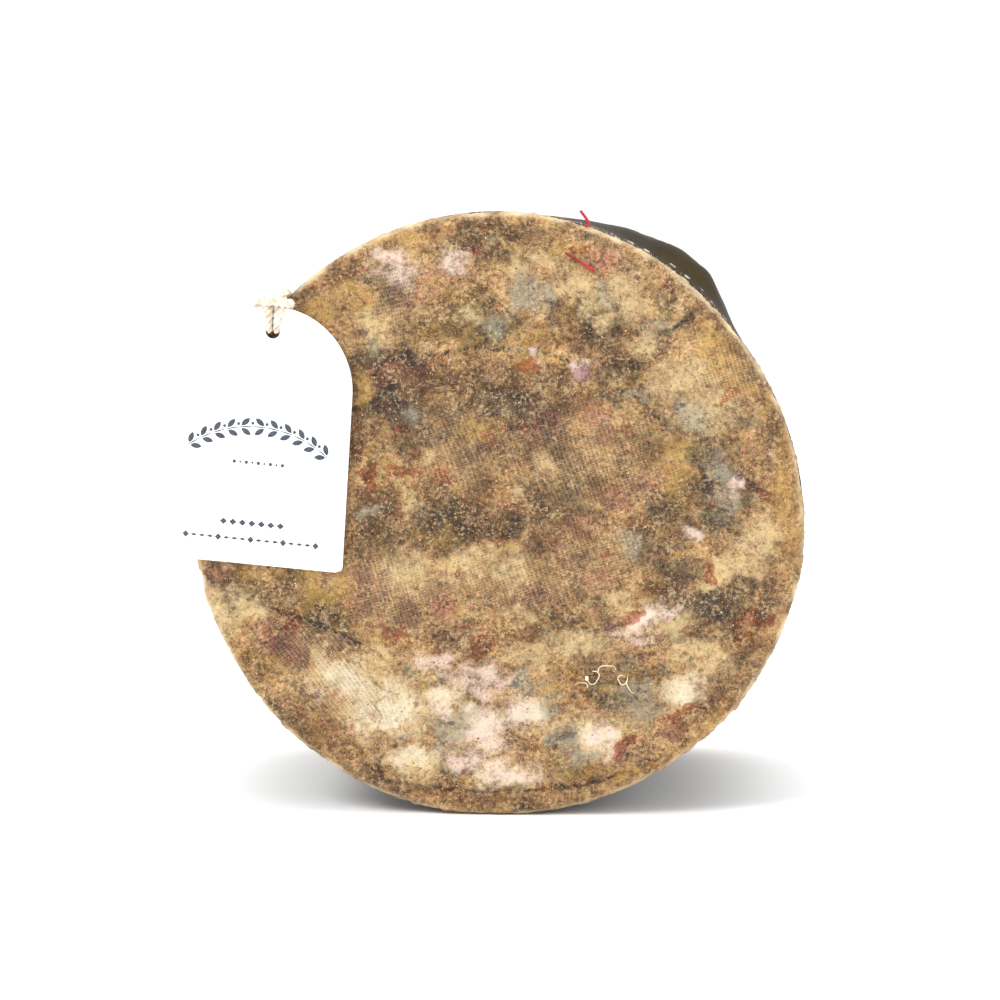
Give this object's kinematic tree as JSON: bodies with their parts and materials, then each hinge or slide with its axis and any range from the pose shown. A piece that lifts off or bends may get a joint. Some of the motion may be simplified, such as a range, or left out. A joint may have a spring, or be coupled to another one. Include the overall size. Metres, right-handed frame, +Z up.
{
  "type": "clothbound cheddar truckle",
  "caption": "Whole clothbound cheddar truckle standing on its curved side, with a loose side wrap, a hitched hang tag and red thread.",
  "frame": {"origin": "centre of the small flat spot that the truckle has settled on, on the surface it stands on", "axes": "+Z up, +Y along the axis of the cheese from the tagged front face to the back face, +X to the right seen from the front"},
  "size_m": [0.1634, 0.1061, 0.1557],
  "materials": {
    "cloth_rind": "muslin pressed into a mottled natural rind",
    "wrap": "dark glossy coated paper",
    "card": "smooth white card, lightly embossed",
    "cotton": "twisted cotton string",
    "red_thread": "waxed red thread"
  },
  "bodies": {
    "root": {"truckle": "cloth_rind", "side_band": "wrap", "tag_back_leaf": "card", "tag_front_leaf": "card", "string": "cotton", "red_stitch": "red_thread", "red_thread_end": "red_thread"}
  },
  "joints": []
}
